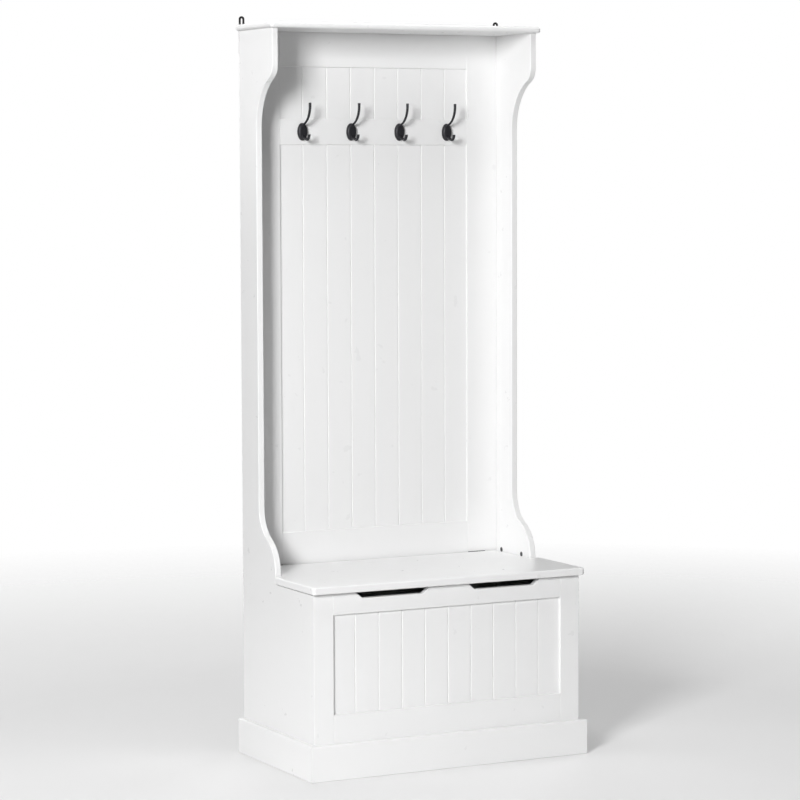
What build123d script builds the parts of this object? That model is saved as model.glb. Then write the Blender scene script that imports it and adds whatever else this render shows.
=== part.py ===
"""Hall tree with coat hooks, a lift-up seat and a storage box below it.

Millimetres, +Z up, front towards -Y. The origin is on the floor, below the
middle of the overall box. Depths are given as distances in front of the back
plane and turned into Y by at().
"""
import os
from math import acos, degrees

from build123d import *

# ---- overall sizes ----
body_width = 700.0  # outside faces of the side panels
body_depth = 391.0  # back plane to the front of the face frame
box_height = 427.0  # top of the storage box
total_height = 1735.0  # top of the top board
panel_t = 15.0  # sides, rails, stiles, backs and floor

# ---- plinth ----
plinth_height = 82.0
plinth_t = 15.0
plinth_edge_r = 4.0

# ---- face frame of the box ----
stile_width = 50.0
top_rail_height = 48.0
bottom_rail_z = 56.0
bottom_rail_height = 92.0
bead_recess = 7.0  # frame face to panel face
bead_t = 8.0
rebate = 10.0  # lap of each beadboard panel behind its frame
panel_gap = 1.0  # play of a beadboard panel in its rebate, at each edge
board_pitch = 60.4
groove_width = 3.2
groove_depth = 2.2
edge_r = 0.8  # eased edges of rails and stiles

# ---- finger cut-outs in the top rail ----
cutout_shift = 3.0  # towards the middle, from the centre of each half of the rail
cutout_top = 190.0
cutout_bottom = 158.0
cutout_depth = 13.5
cutout_r = 6.0

# ---- inside of the box ----
floor_top_z = 100.0
cleat = 16.0
cleat_end = 30.0  # shortfall of each cleat at its two ends
box_back_z = 20.0

# ---- lid ----
lid_t = 18.0
lid_overhang = 15.0  # in front of the face frame
lid_side_overhang = 8.0
lid_side_gap = 3.0  # between the lid and the side panels
ear_gap = 3.0  # between the ears and the front of the side panels
ear_r = 20.0
lid_front_r = 7.0
lid_edge_r = 4.0
notch_r = 4.0
bumper_t = 2.2
bumper_r = 4.0
bumper_inset = 25.0  # outside of the box to the front bumpers
bumper_lead = 27.0  # back of the ears to the rear bumpers
rest_gap = 0.3  # left between the bumpers and the lid

# ---- upper side panels ----
head_depth = 186.0
waist_depth = 94.0
foot_depth = 185.0
side_edge_r = 1.5
head_drop = 84.0  # underside of the top board to the start of the upper curve
head_outer_r = 35.0
head_inner_r = 124.0
foot_height = 22.0  # top of the box to the start of the lower curve
foot_outer_r = 89.0
foot_inner_r = 80.0

# ---- top board ----
top_t = 15.0
top_overhang = 13.0
top_side_overhang = 8.0
top_edge_r = 6.0
top_corner_r = 8.0

# ---- framed back ----
back_inset = 1.0  # rear of the frame to the back plane
back_stile_width = 82.5
back_lap = 27.0  # foot of the frame below the top of the box
back_rail_rise = 77.5  # top of the lid to the top of the bottom rail
upper_bead_height = 123.0  # between the hook rail and the top rail
hook_rail_height = 62.0
back_top_rail_height = 82.0
back_bead_recess = 4.0
back_pitch = 63.8

# ---- coat hooks ----
hook_count = 4
hook_margin = 57.5  # end of the hook rail to the middle of the first hook
oval_width = 25.0
oval_height = 42.0
oval_t = 10.0
oval_edge_r = 4.0
prong_r = 2.6
tip_r = 3.5
tip_round = 1.5
prong_root = 3.0  # depth inside the oval at which the prongs start
upper_root_z = 14.0
upper_run = (18.0, 20.0)  # forward and up, where the upper prong starts to turn
upper_reach = 46.0
upper_tip_z = 68.0
lower_root_z = -11.0
lower_run = (25.0, -18.2)
lower_reach = 40.0
lower_tip_z = -6.5
hook_screw_z = 6.0
hook_screw_r = 1.5
hook_screw_head_r = 2.6
hook_screw_head_t = 1.5
hook_screw_length = 21.0

# ---- wall plates ----
plate_width = 14.0
plate_t = 2.0
plate_rise = 20.0  # above the top board
plate_drop = 70.0  # below the top of the top board
slot_width = 4.8
slot_length = 17.0
slot_rim = 5.0
plate_screw_drops = (40.0, 12.0)  # below the top of the side panels
plate_screw_r = 1.5
plate_screw_head_r = 3.2
plate_screw_head_t = 1.2
plate_screw_length = 20.0

# ---- fasteners ----
cam_r = 6.0
cam_depth = 9.0
cam_slot = 1.2
cam_distance = 24.0  # board edge to cam centre
bolt_r = 3.0
bolt_grip = 11.0  # length of a bolt in the board it is driven into
dowel_r = 3.0
dowel_length = 30.0
dowel_play = 1.0  # space past each end of a dowel
# from the lower and the upper edge of each rail to its two dowels
top_rail_dowels = (18.0, 10.0)
bottom_rail_dowels = (20.0, 28.0)
back_bottom_rail_dowels = (30.0, 35.0)
hook_rail_dowels = (21.0, 21.0)
back_top_rail_dowels = (24.0, 20.0)
fit_gap = 0.1  # radial play of fasteners in their holes
seat_cam_insets = (41.0, 44.0)  # rear and front edge of the foot of the upper sides
back_cam_insets = (120.0, 80.0)  # foot and top of the framed back; one more half-way
box_cam_insets = (110.0, 70.0)  # foot and top of the back of the box
floor_cam_insets = (74.0, 76.0)  # rear and front edge of the floor
top_screw_insets = (35.0, 36.0)  # rear and front edge of the head of the upper sides
top_screw_r = 3.0
top_screw_head_r = 5.0
top_screw_head_t = 3.0
top_screw_length = 50.0

# ---- lid hinges ----
hinge_inset = 1.5  # inner edge of the back stile to the hinge
hinge_length = 46.0
leaf_t = 1.2
leaf_clear = 0.5  # underside of the lid to the foot of a leaf
knuckle_r = 2.5
knuckle_clear = 0.4  # between a knuckle and what turns past it
pin_r = 1.2
pin_gap = 0.05  # running clearance of the pin in the lid leaf
pin_fit = 0.02  # clearance of the pin in the frame leaf
knuckle_gap = 0.4  # between neighbouring knuckles
lid_knuckle = 17.0
knuckle_proud = 1.0  # top of the knuckle above the lid
hinge_screw_x = 14.0
hinge_screw_r = 1.4
hinge_screw_head_r = 2.6
hinge_screw_head_t = 1.0
hinge_screw_length = 12.0

# ---- worked out ----
half = body_width / 2
inner = half - panel_t
lid_width = body_width + 2 * lid_side_overhang
lid_depth = body_depth + lid_overhang
top_width = body_width + 2 * top_side_overhang
back_y = (lid_depth + plate_t) / 2 - plate_t
side_depth = body_depth - panel_t
lid_z = box_height + bumper_t + rest_gap
lid_top = lid_z + lid_t
back_face = back_inset + panel_t
lid_back = back_face + 2 * (knuckle_r + knuckle_clear)
side_top = total_height - top_t
ear_back = foot_depth + ear_gap
opening_half = half - stile_width
cutout_x = opening_half / 2 - cutout_shift
bead_z = bottom_rail_z + bottom_rail_height
top_rail_z = box_height - top_rail_height
back_opening = inner - back_stile_width
back_foot_z = box_height - back_lap
back_bottom_rail_top = lid_top + back_rail_rise
back_top_rail_z = side_top - back_top_rail_height
hook_rail_top = back_top_rail_z - upper_bead_height
hook_rail_z = hook_rail_top - hook_rail_height
hook_z = hook_rail_z + hook_rail_height / 2
panel_axis = half - panel_t / 2
back_axis = back_inset + panel_t / 2
frame_axis = body_depth - panel_t / 2
seat_cam_z = box_height + cam_distance
seat_cam_depths = (seat_cam_insets[0], foot_depth - seat_cam_insets[1])
back_cam_ends = (back_foot_z + back_cam_insets[0], side_top - back_cam_insets[1])
back_cam_heights = (back_cam_ends[0], (back_foot_z + side_top) / 2, back_cam_ends[1])
box_cam_heights = (box_back_z + box_cam_insets[0], back_foot_z - box_cam_insets[1])
floor_cam_depths = (back_face + floor_cam_insets[0], side_depth - floor_cam_insets[1])
top_screw_depths = (top_screw_insets[0], head_depth - top_screw_insets[1])
hinge_axis_depth = back_face + knuckle_clear + knuckle_r
hinge_axis_z = lid_top + knuckle_proud - knuckle_r
hinge_x = back_opening + hinge_inset + hinge_length / 2
leaf_height = hinge_axis_z - lid_z - leaf_clear
hook_pitch = 2 * (back_opening - hook_margin) / (hook_count - 1)
hook_xs = [(i - (hook_count - 1) / 2) * hook_pitch for i in range(hook_count)]
MIRROR = {"left": -1, "right": 1}


def at(depth):
    """Y of a point that lies depth in front of the back plane."""
    return back_y - depth


def block(x, depth, z, mode=Mode.ADD):
    """Add a box between the limits x, depth and z to the open part, or cut it out."""
    with BuildSketch(Plane.XY.offset(z[0])) as outline:
        with Locations(((x[0] + x[1]) / 2, (at(depth[0]) + at(depth[1])) / 2)):
            Rectangle(abs(x[1] - x[0]), abs(depth[1] - depth[0]))
    extrude(outline.sketch, amount=z[1] - z[0], mode=mode)


def rod(point, direction, radius, length, mode=Mode.ADD):
    """A round bar, or with Mode.SUBTRACT a hole, that starts at a point."""
    with BuildSketch(Plane(origin=point, z_dir=direction)) as outline:
        Circle(radius)
    extrude(outline.sketch, amount=length, mode=mode)


def ease_front(depth, radius=edge_r):
    """Round the edges of the open part that lie on its front face."""
    face_edges = edges().filter_by(lambda e: all(abs(v.Y - at(depth)) < 1e-3 for v in e.vertices()))
    fillet(face_edges, radius)


def finish(part, label):
    """Name a finished piece and write its file."""
    part.part.label = label
    export_step(part.part, "parts/" + label + ".step")


def corner_cams():
    """Centre, face direction and bolt direction of every cam lock, by group."""
    seat, back, box = [], [], []
    for side in (-1, 1):
        for depth in seat_cam_depths:
            seat.append(((side * inner, at(depth), seat_cam_z), (side, 0, 0), (0, 0, -1)))
        for z in back_cam_heights:
            x = side * (inner - cam_distance)
            back.append(((x, at(back_inset), z), (0, -1, 0), (side, 0, 0)))
        for z in box_cam_heights:
            x = side * (inner - cam_distance)
            box.append(((x, at(back_inset), z), (0, -1, 0), (side, 0, 0)))
        for depth in floor_cam_depths:
            x = side * (inner - cam_distance)
            box.append(((x, at(depth), floor_top_z - panel_t), (0, 0, 1), (side, 0, 0)))
    return seat, back, box


seat_cams, back_cams, box_cams = corner_cams()


def bolt_line(cam):
    """Middle of the board behind a cam's face, and the bolt's direction."""
    point, inward, along = (Vector(v) for v in cam)
    return point + inward * (panel_t / 2), along


def cam_pockets(cams, clear=fit_gap):
    """Cut the pocket and the bolt hole of each cam from the open part."""
    for cam in cams:
        point, inward = cam[0], cam[1]
        rod(point, inward, cam_r + clear, cam_depth, Mode.SUBTRACT)
        start, along = bolt_line(cam)
        rod(start, along, bolt_r + clear, cam_distance, Mode.SUBTRACT)


def bolt_sockets(cams, clear=fit_gap):
    """Cut the hole that each bolt is driven into from the open part."""
    for cam in cams:
        start, along = bolt_line(cam)
        rod(start + along * cam_distance, along, bolt_r + clear, bolt_grip, Mode.SUBTRACT)


def frame_dowels():
    """Middles of the dowels that join rails to stiles, for both frames."""
    front_rails = (
        (bottom_rail_z, bead_z, bottom_rail_dowels),
        (top_rail_z, box_height, top_rail_dowels),
    )
    back_rails = (
        (back_foot_z, back_bottom_rail_top, back_bottom_rail_dowels),
        (hook_rail_z, hook_rail_top, hook_rail_dowels),
        (back_top_rail_z, side_top, back_top_rail_dowels),
    )
    front, back = [], []
    for side in (-1, 1):
        for low, high, (rise, drop) in front_rails:
            for z in (low + rise, high - drop):
                front.append(Vector(side * opening_half, at(frame_axis), z))
        for low, high, (rise, drop) in back_rails:
            for z in (low + rise, high - drop):
                back.append(Vector(side * back_opening, at(back_axis), z))
    return front, back


front_dowels, back_dowels = frame_dowels()


def dowel_holes(middles, clear=fit_gap):
    """Cut every dowel's hole from the open part."""
    for middle in middles:
        start = middle - Vector(dowel_length / 2, 0, 0)
        rod(start, (1, 0, 0), dowel_r + clear, dowel_length, Mode.SUBTRACT)


def s_curve(start, up, radius_one, radius_two, drop):
    """Two tangent arcs that step sideways by drop and end in the direction up."""
    sweep_angle = degrees(acos(1 - abs(drop) / (radius_one + radius_two)))
    turn = sweep_angle if drop > 0 else -sweep_angle
    first = JernArc(start, up, radius_one, -turn)
    JernArc(first @ 1, first % 1, radius_two, turn)


def bead_grooves(pitch, half_width, face_depth, z):
    """Cut V grooves, evenly spaced about the middle, from a panel's face."""
    count = int(half_width / pitch)
    with BuildSketch(Plane.XY.offset(z[0])) as outline:
        with Locations(*[(i * pitch, at(face_depth)) for i in range(-count, count + 1)]):
            Polygon((-groove_width / 2, 0), (groove_width / 2, 0), (0, groove_depth), align=None)
    extrude(outline.sketch, amount=z[1] - z[0], mode=Mode.SUBTRACT)


def hinge_screw_points(depth):
    """Places of the hinge screws on the face at the given depth."""
    z = hinge_axis_z - (knuckle_r + knuckle_clear + leaf_height) / 2
    return [
        (side * hinge_x + step, at(depth), z)
        for side in (-1, 1)
        for step in (-hinge_screw_x, hinge_screw_x)
    ]


def plate_screw_points():
    """Places of the wall plates' screws on the rear edges of the sides."""
    return [(side * panel_axis, at(0), side_top - z) for side in (-1, 1) for z in plate_screw_drops]


def screw(point, direction, radius, head_r, head_t, length):
    """A flat-headed screw with a cross recess: the head's face is at the point."""
    rod(point, direction, head_r, head_t)
    rod(point, direction, radius, length)
    with BuildSketch(Plane(origin=point, z_dir=direction)) as recess:
        Rectangle(head_r * 1.2, head_r * 0.25)
        Rectangle(head_r * 0.25, head_r * 1.2)
    extrude(recess.sketch, amount=head_t * 0.6, mode=Mode.SUBTRACT)


def screw_hole(point, direction, radius, head_r, head_t, length, clear=fit_gap):
    """Cut the hole of such a screw from the open part."""
    rod(point, direction, head_r + clear, head_t, Mode.SUBTRACT)
    rod(point, direction, radius + clear, length, Mode.SUBTRACT)


os.makedirs("parts", exist_ok=True)

# ---- lower sides ----
for name, side in MIRROR.items():
    with BuildPart() as lower_side:
        block((side * inner, side * half), (0, side_depth), (0, box_height))
        bolt_sockets([cam for cam in seat_cams + box_cams if cam[0][0] * side > 0])
    finish(lower_side, name + "_lower_side")

# ---- plinth: three mitred boards around the foot of the box ----
outer = half + plinth_t
with BuildPart() as plinth_front:
    with BuildSketch():
        Polygon(
            (-outer, at(body_depth + plinth_t)),
            (outer, at(body_depth + plinth_t)),
            (half, at(body_depth)),
            (-half, at(body_depth)),
            align=None,
        )
    extrude(amount=plinth_height)
    fillet(plinth_front.edges().group_by(Axis.Z)[-1].sort_by(Axis.Y)[0], plinth_edge_r)
finish(plinth_front, "plinth_front")

for name, side in MIRROR.items():
    with BuildPart() as plinth_side:
        with BuildSketch():
            Polygon(
                (side * half, at(0)),
                (side * outer, at(0)),
                (side * outer, at(body_depth + plinth_t)),
                (side * half, at(body_depth)),
                align=None,
            )
        extrude(amount=plinth_height)
        top_edges = plinth_side.edges().group_by(Axis.Z)[-1]
        fillet(top_edges.filter_by(Axis.Y).sort_by(Axis.X)[0 if side < 0 else -1], plinth_edge_r)
    finish(plinth_side, name + "_plinth")

# ---- face frame ----
frame_span = (side_depth, body_depth)
rebate_span = (side_depth, body_depth - bead_recess)
for name, side in MIRROR.items():
    with BuildPart() as front_stile:
        block((side * opening_half, side * half), frame_span, (0, box_height))
        ease_front(body_depth)
        lap = (side * opening_half, side * (opening_half + rebate))
        block(lap, rebate_span, (bead_z - rebate, top_rail_z + rebate), Mode.SUBTRACT)
        dowel_holes(front_dowels)
    finish(front_stile, name + "_front_stile")

with BuildPart() as front_top_rail:
    with BuildSketch(Plane.XZ.offset(-at(body_depth))):
        with Locations((0, top_rail_z + top_rail_height / 2)):
            Rectangle(2 * opening_half, top_rail_height)
        for x in (-cutout_x, cutout_x):
            with BuildLine():
                Polyline(
                    (x - cutout_top / 2, box_height),
                    (x - cutout_bottom / 2, box_height - cutout_depth),
                    (x + cutout_bottom / 2, box_height - cutout_depth),
                    (x + cutout_top / 2, box_height),
                    close=True,
                )
            make_face(mode=Mode.SUBTRACT)
        bends = vertices().filter_by(lambda v: abs(v.X) < opening_half - 1 and v.Y > top_rail_z + 1)
        fillet(bends, cutout_r)
    extrude(amount=-panel_t)
    ease_front(body_depth)
    lap = (top_rail_z, top_rail_z + rebate)
    block((-opening_half, opening_half), rebate_span, lap, Mode.SUBTRACT)
    dowel_holes(front_dowels)
finish(front_top_rail, "front_top_rail")

with BuildPart() as front_bottom_rail:
    block((-opening_half, opening_half), frame_span, (bottom_rail_z, bead_z))
    ease_front(body_depth)
    block((-opening_half, opening_half), rebate_span, (bead_z - rebate, bead_z), Mode.SUBTRACT)
    dowel_holes(front_dowels)
finish(front_bottom_rail, "front_bottom_rail")

panel_half = opening_half + rebate - panel_gap
panel_span = (bead_z - rebate + panel_gap, top_rail_z + rebate - panel_gap)
with BuildPart() as front_bead_panel:
    face_depth = body_depth - bead_recess
    block((-panel_half, panel_half), (face_depth - bead_t, face_depth), panel_span)
    bead_grooves(board_pitch, opening_half, face_depth, panel_span)
finish(front_bead_panel, "front_bead_panel")

# ---- floor, cleats and back of the box ----
with BuildPart() as box_floor:
    block((-inner, inner), (back_face, side_depth), (floor_top_z - panel_t, floor_top_z))
    cam_pockets([cam for cam in box_cams if cam[1][2] > 0])
finish(box_floor, "box_floor")

with BuildPart() as floor_cleats:
    under = floor_top_z - panel_t
    for side in (-1, 1):
        x = (side * (inner - cleat), side * inner)
        block(x, (back_face + cleat_end, side_depth - cleat_end), (under - cleat, under))
finish(floor_cleats, "floor_cleats")

with BuildPart() as box_back:
    block((-inner, inner), (back_inset, back_face), (box_back_z, back_foot_z))
    cam_pockets([cam for cam in box_cams if cam[1][1] < 0])
finish(box_back, "box_back")

# ---- upper sides ----
for name, side in MIRROR.items():
    with BuildPart() as upper_side:
        with BuildSketch(Plane.YZ.offset(side * inner)):
            with BuildLine():
                foot = Line((at(0), box_height), (at(foot_depth), box_height))
                rise = Line(foot @ 1, (at(foot_depth), box_height + foot_height))
                s_curve(rise @ 1, (0, 1), foot_outer_r, foot_inner_r, foot_depth - waist_depth)
                head = (at(head_depth), side_top - head_drop)
                s_curve(head, (0, -1), head_outer_r, head_inner_r, waist_depth - head_depth)
                waist = [v for v in vertices() if abs(v.X - at(waist_depth)) < 1e-3]
                Line(*sorted(waist, key=lambda v: v.Y))
                top = Line(head, (at(head_depth), side_top))
                Polyline(top @ 1, (at(0), side_top), foot @ 0)
            make_face()
        extrude(amount=side * panel_t)
        front = edges().filter_by(lambda e: e.center().Y < at(waist_depth) + 1)
        fillet(front.filter_by(lambda e: abs(e.tangent_at(0.5).X) < 0.5), side_edge_r)
        own_back_cams = [cam for cam in back_cams if cam[0][0] * side > 0]
        cam_pockets([cam for cam in seat_cams if cam[0][0] * side > 0])
        bolt_sockets(own_back_cams)
        for depth in top_screw_depths:
            hole = (side * panel_axis, at(depth), side_top)
            rod(hole, (0, 0, -1), top_screw_r + fit_gap, top_screw_length, Mode.SUBTRACT)
        for point in plate_screw_points():
            if point[0] * side > 0:
                rod(point, (0, -1, 0), plate_screw_r + fit_gap, plate_screw_length, Mode.SUBTRACT)
    finish(upper_side, name + "_upper_side")

# ---- top board ----
top_screw = ((0, 0, -1), top_screw_r, top_screw_head_r, top_screw_head_t, top_screw_length)
top_screw_points = [
    (side * panel_axis, at(depth), total_height) for side in (-1, 1) for depth in top_screw_depths
]
with BuildPart() as top_board:
    with BuildSketch(Plane.XY.offset(side_top)):
        with Locations((0, (at(0) + at(head_depth + top_overhang)) / 2)):
            Rectangle(top_width, head_depth + top_overhang)
        fillet(vertices().group_by(Axis.Y)[0], top_corner_r)
    extrude(amount=top_t)
    for level in (0, -1):
        rim = edges().group_by(Axis.Z)[level]
        fillet(rim.filter_by(lambda e: e.center().Y < at(0) - 1), top_edge_r)
    for point in top_screw_points:
        screw_hole(point, *top_screw)
finish(top_board, "top_board")

with BuildPart() as top_screws:
    for point in top_screw_points:
        screw(point, *top_screw)
finish(top_screws, "top_screws")

# ---- framed back ----
back_span = (back_inset, back_face)
back_rebate = (back_inset, back_face - back_bead_recess)
lower_bead = (back_bottom_rail_top, hook_rail_z)
upper_bead = (hook_rail_top, back_top_rail_z)
for name, side in MIRROR.items():
    with BuildPart() as back_stile:
        block((side * back_opening, side * inner), back_span, (back_foot_z, side_top))
        ease_front(back_face)
        lap = (side * back_opening, side * (back_opening + rebate))
        for z in (lower_bead, upper_bead):
            block(lap, back_rebate, (z[0] - rebate, z[1] + rebate), Mode.SUBTRACT)
        dowel_holes(back_dowels)
        cam_pockets([cam for cam in back_cams if cam[0][0] * side > 0])
        for point in hinge_screw_points(back_face):
            rod(point, (0, 1, 0), hinge_screw_r + fit_gap, hinge_screw_length, Mode.SUBTRACT)
    finish(back_stile, name + "_back_stile")

with BuildPart() as back_bottom_rail:
    rail_z = (back_foot_z, back_bottom_rail_top)
    block((-back_opening, back_opening), back_span, rail_z)
    ease_front(back_face)
    lap = (back_bottom_rail_top - rebate, back_bottom_rail_top)
    block((-back_opening, back_opening), back_rebate, lap, Mode.SUBTRACT)
    dowel_holes(back_dowels)
finish(back_bottom_rail, "back_bottom_rail")

with BuildPart() as hook_rail:
    block((-back_opening, back_opening), back_span, (hook_rail_z, hook_rail_top))
    ease_front(back_face)
    for lap in ((hook_rail_z, hook_rail_z + rebate), (hook_rail_top - rebate, hook_rail_top)):
        block((-back_opening, back_opening), back_rebate, lap, Mode.SUBTRACT)
    dowel_holes(back_dowels)
    for x in hook_xs:
        for z in (hook_z - hook_screw_z, hook_z + hook_screw_z):
            hole = (x, at(back_face), z)
            depth = hook_screw_length - oval_t
            rod(hole, (0, 1, 0), hook_screw_r + fit_gap, depth, Mode.SUBTRACT)
finish(hook_rail, "hook_rail")

with BuildPart() as back_top_rail:
    block((-back_opening, back_opening), back_span, (back_top_rail_z, side_top))
    ease_front(back_face)
    lap = (back_top_rail_z, back_top_rail_z + rebate)
    block((-back_opening, back_opening), back_rebate, lap, Mode.SUBTRACT)
    dowel_holes(back_dowels)
finish(back_top_rail, "back_top_rail")

back_panel_half = back_opening + rebate - panel_gap
for name, z in {"lower_bead_panel": lower_bead, "upper_bead_panel": upper_bead}.items():
    with BuildPart() as bead_panel:
        face_depth = back_face - back_bead_recess
        span = (z[0] - rebate + panel_gap, z[1] + rebate - panel_gap)
        block((-back_panel_half, back_panel_half), (face_depth - bead_t, face_depth), span)
        bead_grooves(back_pitch, back_opening, face_depth, span)
    finish(bead_panel, name)

# ---- coat hooks: an oval plate with a long upper and a short lower prong ----
def prong(x, root_z, run, reach, tip_z, end_r):
    """A prong that leaves the oval, turns upwards and widens to its tip."""
    plane = Plane(origin=(x, at(back_face), hook_z), x_dir=(0, -1, 0), z_dir=(-1, 0, 0))
    slope = Vector(run[0] - prong_root, run[1] - root_z).normalized()
    radius = (reach - run[0]) / (1 - slope.Y)
    turn = 90 - degrees(acos(slope.X)) * (1 if slope.Y > 0 else -1)
    with BuildLine(plane) as route:
        Line((prong_root, root_z), run)
        bend = JernArc(run, (slope.X, slope.Y), radius, turn)
        Line(bend @ 1, (reach, tip_z))
    with BuildSketch(Plane(origin=route.line @ 0, z_dir=route.line % 0)) as root:
        Circle(prong_r)
    with BuildSketch(Plane(origin=route.line @ 1, z_dir=route.line % 1)) as tip:
        Circle(end_r)
    sweep([root.sketch.face(), tip.sketch.face()], path=route.line, multisection=True)


hook_screw = ((0, 1, 0), hook_screw_r, hook_screw_head_r, hook_screw_head_t, hook_screw_length)
hook_names = ("left_hook", "middle_left_hook", "middle_right_hook", "right_hook")
for name, x in zip(hook_names, hook_xs):
    with BuildPart() as coat_hook:
        rail_face = Plane(origin=(x, at(back_face), hook_z), x_dir=(1, 0, 0), z_dir=(0, -1, 0))
        with BuildSketch(rail_face) as oval:
            Ellipse(oval_width / 2, oval_height / 2)
        extrude(oval.sketch, amount=oval_t)
        rim = edges().sort_by(Axis.Y)[0]
        fillet(rim, oval_edge_r)
        prong(x, upper_root_z, upper_run, upper_reach, upper_tip_z, tip_r)
        prong(x, lower_root_z, lower_run, lower_reach, lower_tip_z, prong_r)
        tips = edges().filter_by(GeomType.CIRCLE).filter_by(Plane.XY)
        fillet(tips, tip_round)
        for z in (hook_z - hook_screw_z, hook_z + hook_screw_z):
            screw_hole((x, at(back_face + oval_t), z), *hook_screw)
    finish(coat_hook, name)

with BuildPart() as hook_screws:
    for x in hook_xs:
        for z in (hook_z - hook_screw_z, hook_z + hook_screw_z):
            screw((x, at(back_face + oval_t), z), *hook_screw)
finish(hook_screws, "hook_screws")

# ---- wall plates: slotted straps behind the tops of the sides ----
plate_screw = (
    (0, -1, 0), plate_screw_r, plate_screw_head_r, plate_screw_head_t, plate_t + plate_screw_length
)
for name, side in MIRROR.items():
    with BuildPart() as wall_plate:
        foot = total_height - plate_drop
        crown = total_height + plate_rise
        slot_z = crown - slot_rim - slot_length / 2
        with BuildSketch(Plane.XZ.offset(-at(0))):
            with Locations((side * panel_axis, (foot + crown) / 2)):
                Rectangle(plate_width, crown - foot)
            fillet(vertices().group_by(Axis.Y)[-1], plate_width / 2 - 0.1)
            fillet(vertices().group_by(Axis.Y)[0], plate_width / 4)
            with Locations((side * panel_axis, slot_z)):
                SlotOverall(slot_length, slot_width, rotation=90, mode=Mode.SUBTRACT)
        extrude(amount=-plate_t)
        for point in plate_screw_points():
            if point[0] * side > 0:
                screw_hole(Vector(point) + Vector(0, plate_t, 0), *plate_screw)
    finish(wall_plate, name + "_wall_plate")

with BuildPart() as plate_screws:
    for point in plate_screw_points():
        screw(Vector(point) + Vector(0, plate_t, 0), *plate_screw)
finish(plate_screws, "plate_screws")


# ---- cam locks, their bolts, and dowels ----
def cam_lock(cam):
    """A cam in its pocket, with a cross recess in its face."""
    rod(cam[0], cam[1], cam_r, cam_depth)
    with BuildSketch(Plane(origin=cam[0], z_dir=cam[1])) as cross:
        Rectangle(1.4 * cam_r, cam_slot)
        Rectangle(cam_slot, 1.4 * cam_r)
    extrude(cross.sketch, amount=cam_slot, mode=Mode.SUBTRACT)


def cam_bolt(cam):
    """The bolt that a cam pulls on."""
    middle, along = bolt_line(cam)
    near = cam_r + 2 * fit_gap
    rod(middle + along * near, along, bolt_r, cam_distance - near + bolt_grip)


for name, cams in {"seat": seat_cams, "back": back_cams, "box": box_cams}.items():
    with BuildPart() as cam_locks:
        for cam in cams:
            cam_lock(cam)
    finish(cam_locks, name + "_cam_locks")
    with BuildPart() as cam_bolts:
        for cam in cams:
            cam_bolt(cam)
    finish(cam_bolts, name + "_cam_bolts")

for name, middles in {"front_frame": front_dowels, "back_frame": back_dowels}.items():
    with BuildPart() as dowels:
        for middle in middles:
            start = middle - Vector(dowel_length / 2 - dowel_play, 0, 0)
            rod(start, (1, 0, 0), dowel_r, dowel_length - 2 * dowel_play)
    finish(dowels, name + "_dowels")

# ---- lid: full width in front of the side panels, narrower between them ----
hinge_screw = (
    hinge_screw_r, hinge_screw_head_r, hinge_screw_head_t, leaf_t + hinge_screw_length
)
neck_half = inner - lid_side_gap
with BuildPart() as seat_lid:
    with BuildSketch(Plane.XY.offset(lid_z)):
        Polygon(
            (-lid_width / 2, at(lid_depth)),
            (lid_width / 2, at(lid_depth)),
            (lid_width / 2, at(ear_back)),
            (neck_half, at(ear_back)),
            (neck_half, at(lid_back)),
            (-neck_half, at(lid_back)),
            (-neck_half, at(ear_back)),
            (-lid_width / 2, at(ear_back)),
            align=None,
        )
        corners = vertices().group_by(Axis.Y)
        fillet(corners[0], lid_front_r)
        ears = vertices().filter_by(lambda v: abs(v.Y - at(ear_back)) < 1e-3)
        fillet(ears.filter_by(lambda v: abs(v.X) < half), notch_r)
        ears = vertices().filter_by(lambda v: abs(v.Y - at(ear_back)) < 1e-3)
        fillet(ears.filter_by(lambda v: abs(v.X) > half), ear_r)
    extrude(amount=lid_t)
    for level in (0, -1):
        rim = edges().group_by(Axis.Z)[level]
        fillet(rim.filter_by(lambda e: e.center().Y < at(lid_back) - 1), lid_edge_r)
    for point in hinge_screw_points(lid_back):
        rod(point, (0, -1, 0), hinge_screw_r + fit_gap, hinge_screw_length, Mode.SUBTRACT)
finish(seat_lid, "seat_lid")

with BuildPart() as lid_bumpers:
    front_spots = [(side * (half - bumper_inset), at(frame_axis)) for side in (-1, 1)]
    rear_spots = [(side * panel_axis, at(ear_back + bumper_lead)) for side in (-1, 1)]
    for x, y in front_spots + rear_spots:
        rod((x, y, box_height), (0, 0, 1), bumper_r, bumper_t)
finish(lid_bumpers, "lid_bumpers")


# ---- lid hinges: two leaves and a pin each ----
def leaf(x, face, knuckles, bore):
    """A hinge leaf: a plate on the face at a depth, knuckles and their webs."""
    plate_depth = (face, face + leaf_t) if face < hinge_axis_depth else (face - leaf_t, face)
    plate_top = hinge_axis_z - knuckle_r - knuckle_clear
    ends = (x - hinge_length / 2, x + hinge_length / 2)
    block(ends, plate_depth, (hinge_axis_z - leaf_height, plate_top))
    for start, end in knuckles:
        block((x + start, x + end), plate_depth, (plate_top, hinge_axis_z))
        centre = (x + start, at(hinge_axis_depth), hinge_axis_z)
        rod(centre, (1, 0, 0), knuckle_r, end - start)
        rod(centre, (1, 0, 0), bore, end - start, Mode.SUBTRACT)


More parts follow.
